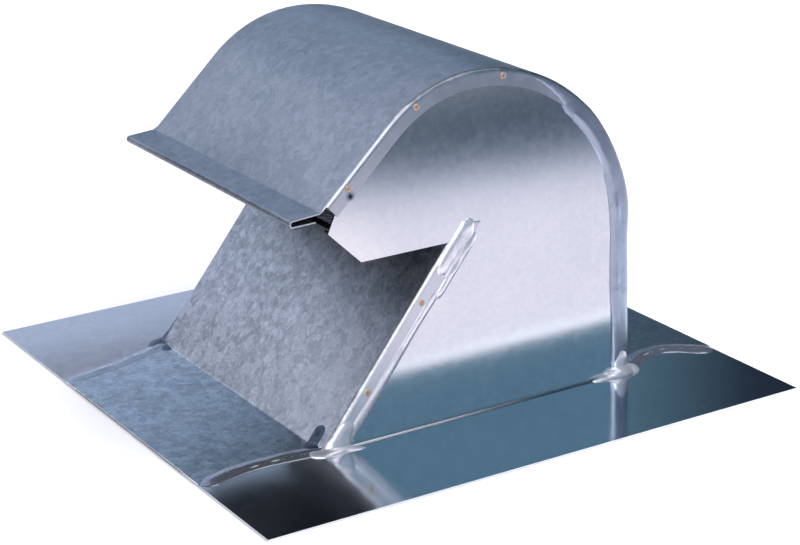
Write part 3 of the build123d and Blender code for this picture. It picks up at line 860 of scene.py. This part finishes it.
def addWeld(mesh, layer, centre, outward, seed):
    along = Vector((0, 1, 0))
    across = outward.cross(along)
    rings = []
    for radius, height in zip(weldShape["radii"], weldShape["heights"]):
        ring = []
        for step in range(weldShape["turns"] if radius else 1):
            angle = 2 * math.pi * step / weldShape["turns"]
            ragged = noise.noise(Vector((2 * math.cos(angle), 2 * math.sin(angle), seed)))
            wobble = 1 + weldShape["wobble"] * ragged
            place = centre + (along * math.cos(angle) + across * math.sin(angle)) * radius * wobble * mm
            vertex = mesh.verts.new(place + outward * height * wobble * mm)
            vertex[layer] = radius / weldShape["radii"][-1]
            ring.append(vertex)
        rings.append(ring)
    count = weldShape["turns"]
    for step in range(count):
        after = (step + 1) % count
        mesh.faces.new((rings[0][0], rings[1][step], rings[1][after]))
        for inner, outer in zip(rings[1:], rings[2:]):
            mesh.faces.new((inner[step], outer[step], outer[after], inner[after]))
    mesh.faces.new(list(reversed(rings[-1])))


def makeWelds(name, centres, outward, replaced):
    mesh = bmesh.new()
    layer = mesh.verts.layers.float.new("weldRadius")
    for number, centre in enumerate(centres):
        onSheet = Vector((outward.x * halfOuter, centre.y, centre.z))
        addWeld(mesh, layer, onSheet, outward, 3.7 * number)
    bmesh.ops.recalc_face_normals(mesh, faces=mesh.faces)
    data = bpy.data.meshes.new(name)
    mesh.to_mesh(data)
    mesh.free()
    for polygon in data.polygons:
        polygon.use_smooth = len(polygon.vertices) < 5
    newPiece(name, data, weldScale, "weld_scale", replaced)


makeWelds("hoodWelds_right", rightWelds, Vector((1, 0, 0)), "hood_spot_welds_right")
makeWelds("hoodWelds_left", leftWelds, Vector((-1, 0, 0)), "hood_spot_welds_left")
makeWelds("panelWelds_right", rightPanelWelds, Vector((1, 0, 0)), "panel_spot_welds_right")
makeWelds("panelWelds_left", leftPanelWelds, Vector((-1, 0, 0)), "panel_spot_welds_left")
print("welds done")


# Floor, lights and camera

def makeFloor():
    look = {"size": 5.0, "color": rgb(0.86, 0.86, 0.88), "roughness": 0.65}
    mesh = bmesh.new()
    bmesh.ops.create_grid(mesh, x_segments=1, y_segments=1, size=look["size"])
    data = bpy.data.meshes.new("floor")
    mesh.to_mesh(data)
    mesh.free()
    floor = bpy.data.objects.new("floor", data)
    floor.location.z = -0.4 * mm
    bpy.context.scene.collection.objects.link(floor)
    material, tree, shader = newMaterial("paperFloor")
    shader.inputs["Base Color"].default_value = look["color"]
    shader.inputs["Roughness"].default_value = look["roughness"]
    dress(floor, material)


def addLight(name, direction, distance, size, watts, color, target=Vector((0, 0, 0.08))):
    data = bpy.data.lights.new(name, "AREA")
    data.shape = "RECTANGLE"
    data.size, data.size_y = size
    data.energy = watts
    data.color = color
    light = bpy.data.objects.new(name, data)
    direction = Vector(direction).normalized()
    light.location = target + direction * distance
    light.rotation_euler = direction.to_track_quat("Z", "Y").to_euler()
    bpy.context.scene.collection.objects.link(light)
    return light


def addCard(name, corner, along, up, shades, strength):
    # A glowing card beside the set that only reflections see; its shades run from its foot to its top
    corner, along, up = Vector(corner), Vector(along), Vector(up)
    data = bpy.data.meshes.new(name)
    data.from_pydata([corner, corner + along, corner + along + up, corner + up], [], [(0, 1, 2, 3)])
    card = bpy.data.objects.new(name, data)
    bpy.context.scene.collection.objects.link(card)
    material, tree, shader = newMaterial(name + "Paper")
    coords = addNode(tree, "ShaderNodeTexCoord", -900, 0)
    fromFoot = addNode(tree, "ShaderNodeVectorMath", -700, 0, operation="SUBTRACT")
    fromFoot.inputs[1].default_value = corner
    tree.links.new(coords.outputs["Object"], fromFoot.inputs[0])
    share = addNode(tree, "ShaderNodeVectorMath", -500, 0, operation="DOT_PRODUCT")
    share.inputs[1].default_value = up / up.length_squared
    tree.links.new(fromFoot.outputs[0], share.inputs[0])
    ramp = addNode(tree, "ShaderNodeValToRGB", -300, 0)
    while len(ramp.color_ramp.elements) < len(shades):
        ramp.color_ramp.elements.new(1.0)
    for element, (place, shade) in zip(ramp.color_ramp.elements, shades):
        element.position = place
        element.color = shade
    tree.links.new(share.outputs["Value"], ramp.inputs["Fac"])
    tree.links.new(ramp.outputs["Color"], shader.inputs["Emission Color"])
    shader.inputs["Base Color"].default_value = rgb(0, 0, 0)
    shader.inputs["Roughness"].default_value = 1.0
    shader.inputs["Emission Strength"].default_value = strength
    dress(card, material)
    card.visible_camera = False
    card.visible_shadow = False
    card.visible_diffuse = False


def makeWorld():
    world = bpy.data.worlds.new("studio")
    bpy.context.scene.world = world
    world.use_nodes = True
    background = world.node_tree.nodes["Background"]
    background.inputs["Color"].default_value = rgb(0.12, 0.22, 0.42)
    background.inputs["Strength"].default_value = 0.16


def makeCamera():
    view = {"place": (1.07401, -0.6181, 0.49116), "azimuth": 59.471, "elevation": 19.392, "roll": -1.879,
            "focal": 2218.7, "width": 800}
    data = bpy.data.cameras.new("camera")
    data.lens = view["focal"] * data.sensor_width / view["width"]
    camera = bpy.data.objects.new("camera", data)
    azimuth, elevation = math.radians(view["azimuth"]), math.radians(view["elevation"])
    look = Vector((-math.sin(azimuth) * math.cos(elevation), math.cos(azimuth) * math.cos(elevation),
                   -math.sin(elevation)))
    turn = look.to_track_quat("-Z", "Y").to_matrix() @ Matrix.Rotation(math.radians(view["roll"]), 3, "Z")
    camera.matrix_world = Matrix.Translation(view["place"]) @ turn.to_4x4()
    bpy.context.scene.collection.objects.link(camera)
    bpy.context.scene.camera = camera


def even(shade):
    return [(0.0, shade), (1.0, shade)]


navy = rgb(0.010, 0.020, 0.042)
teal = rgb(0.11, 0.22, 0.30)
deepTeal = rgb(0.025, 0.055, 0.09)
lavender = rgb(0.95, 0.91, 1.02)
pale = rgb(1.0, 0.97, 1.0)
warm = rgb(1.1, 1.0, 1.06)
haze = rgb(0.68, 0.71, 0.83)
sky = rgb(0.55, 0.72, 0.97)
glow = rgb(0.75, 0.85, 1.0)
dusk = rgb(0.50, 0.58, 0.77)
black = rgb(0.004, 0.007, 0.012)

# name, direction, size, watts
rooms = (
    ("roomRight", (0.6, 0.5, 0.8), (1.6, 1.6), 45),
    ("roomFront", (0.5, -0.5, 0.9), (1.6, 1.6), 30),
    ("roomBack", (-0.5, 0.7, 0.9), (1.6, 1.6), 40),
)

# Cards that light the folded edges: the way they lie from the vent, and their strength
rims = {"distance": 1.6, "width": 0.9, "height": 0.8,
        "cards": (((0.57, -0.46, 0.68), 4.0), ((0.86, -0.25, 0.40), 2.5), ((0.18, -0.56, 0.80), 2.0))}

# name, foot corner, along, up, shades, strength
cards = (
    ("foldCard", (0.1, 0.5, 0.75), (0.5, -0.3, 0.0), (-0.2, -0.2, 0.3), even(pale), 1.2),
    ("leftCard", (-1.0, -1.15, 0.42), (0, 1.5, 0), (0.1, 0, 0.9), even(haze), 1.9),
    ("backCard", (-0.52, -0.25, 0.0), (0, 0.62, 0), (0, 0, 0.19),
     [(0.0, dusk), (0.8, dusk), (1.0, navy)], 0.9),
    ("crownCard", (-0.55, -0.4, 0.27), (0, 0.85, 0), (0, 0, 0.5), even(sky), 0.55),
    ("hoodGlow", (-0.50, -0.45, 0.34), (0, 0.38, 0), (0, 0, 0.14), even(glow), 0.9),
    ("browShade", (-0.10, -0.135, 0.150), (0, -0.15, 0), (0, 0, 0.075), even(black), 1.0),
    ("rearCard", (-0.55, 0.45, 0.12), (0, 0, 0.5), (0, 0.5, 0),
     [(0.0, teal), (0.2, teal), (0.6, navy)], 0.85),
    ("rightCard", (0.78, -0.15, 0.0), (0.0, 1.2, 0), (0.05, 0, 0.7),
     [(0.0, deepTeal), (0.15, deepTeal), (0.25, teal), (1.0, teal)], 1.1),
    ("floorFade", (0.19, -0.25, -0.2 * mm), (0, 1.3, 0), (0.56, 0.12, 0),
     [(0.0, lavender), (0.60, lavender), (0.68, rgb(0.60, 0.63, 0.76)), (0.74, rgb(0.12, 0.20, 0.30)),
      (0.80, deepTeal)], 1.0),
    ("warmCard", (0.26, -0.14, -0.05 * mm), (0, 0.22, 0), (0.24, 0.05, 0), even(warm), 1.08),
    ("frontShade", (-0.6, -1.2, -0.1 * mm), (1.1, 0, 0), (0, 0.98, 0), even(navy), 1.0),
    ("throatShade", (-halfThroat, footY, 0.3 * mm), (2 * halfThroat, 0, 0), (0, backY - footY, 0),
     even(black), 1.0),
)

makeFloor()
makeWorld()
for name, direction, size, watts in rooms:
    room = addLight(name, direction, 2.0, size, watts, (1.0, 0.99, 1.0))
    room.visible_glossy = False
for number, (direction, strength) in enumerate(rims["cards"]):
    facing = Vector(direction)
    across = facing.cross(Vector((0, 0, 1))).normalized() * rims["width"]
    rise = across.cross(facing).normalized() * rims["height"]
    corner = facing * rims["distance"] - across / 2 - rise / 2
    addCard(f"rimCard{number + 1}", corner, across, rise, even(pale), strength)
for name, corner, along, up, shades, strength in cards:
    addCard(name, corner, along, up, shades, strength)
makeCamera()
bpy.context.scene.view_settings.view_transform = "Standard"

print("lights and camera set")
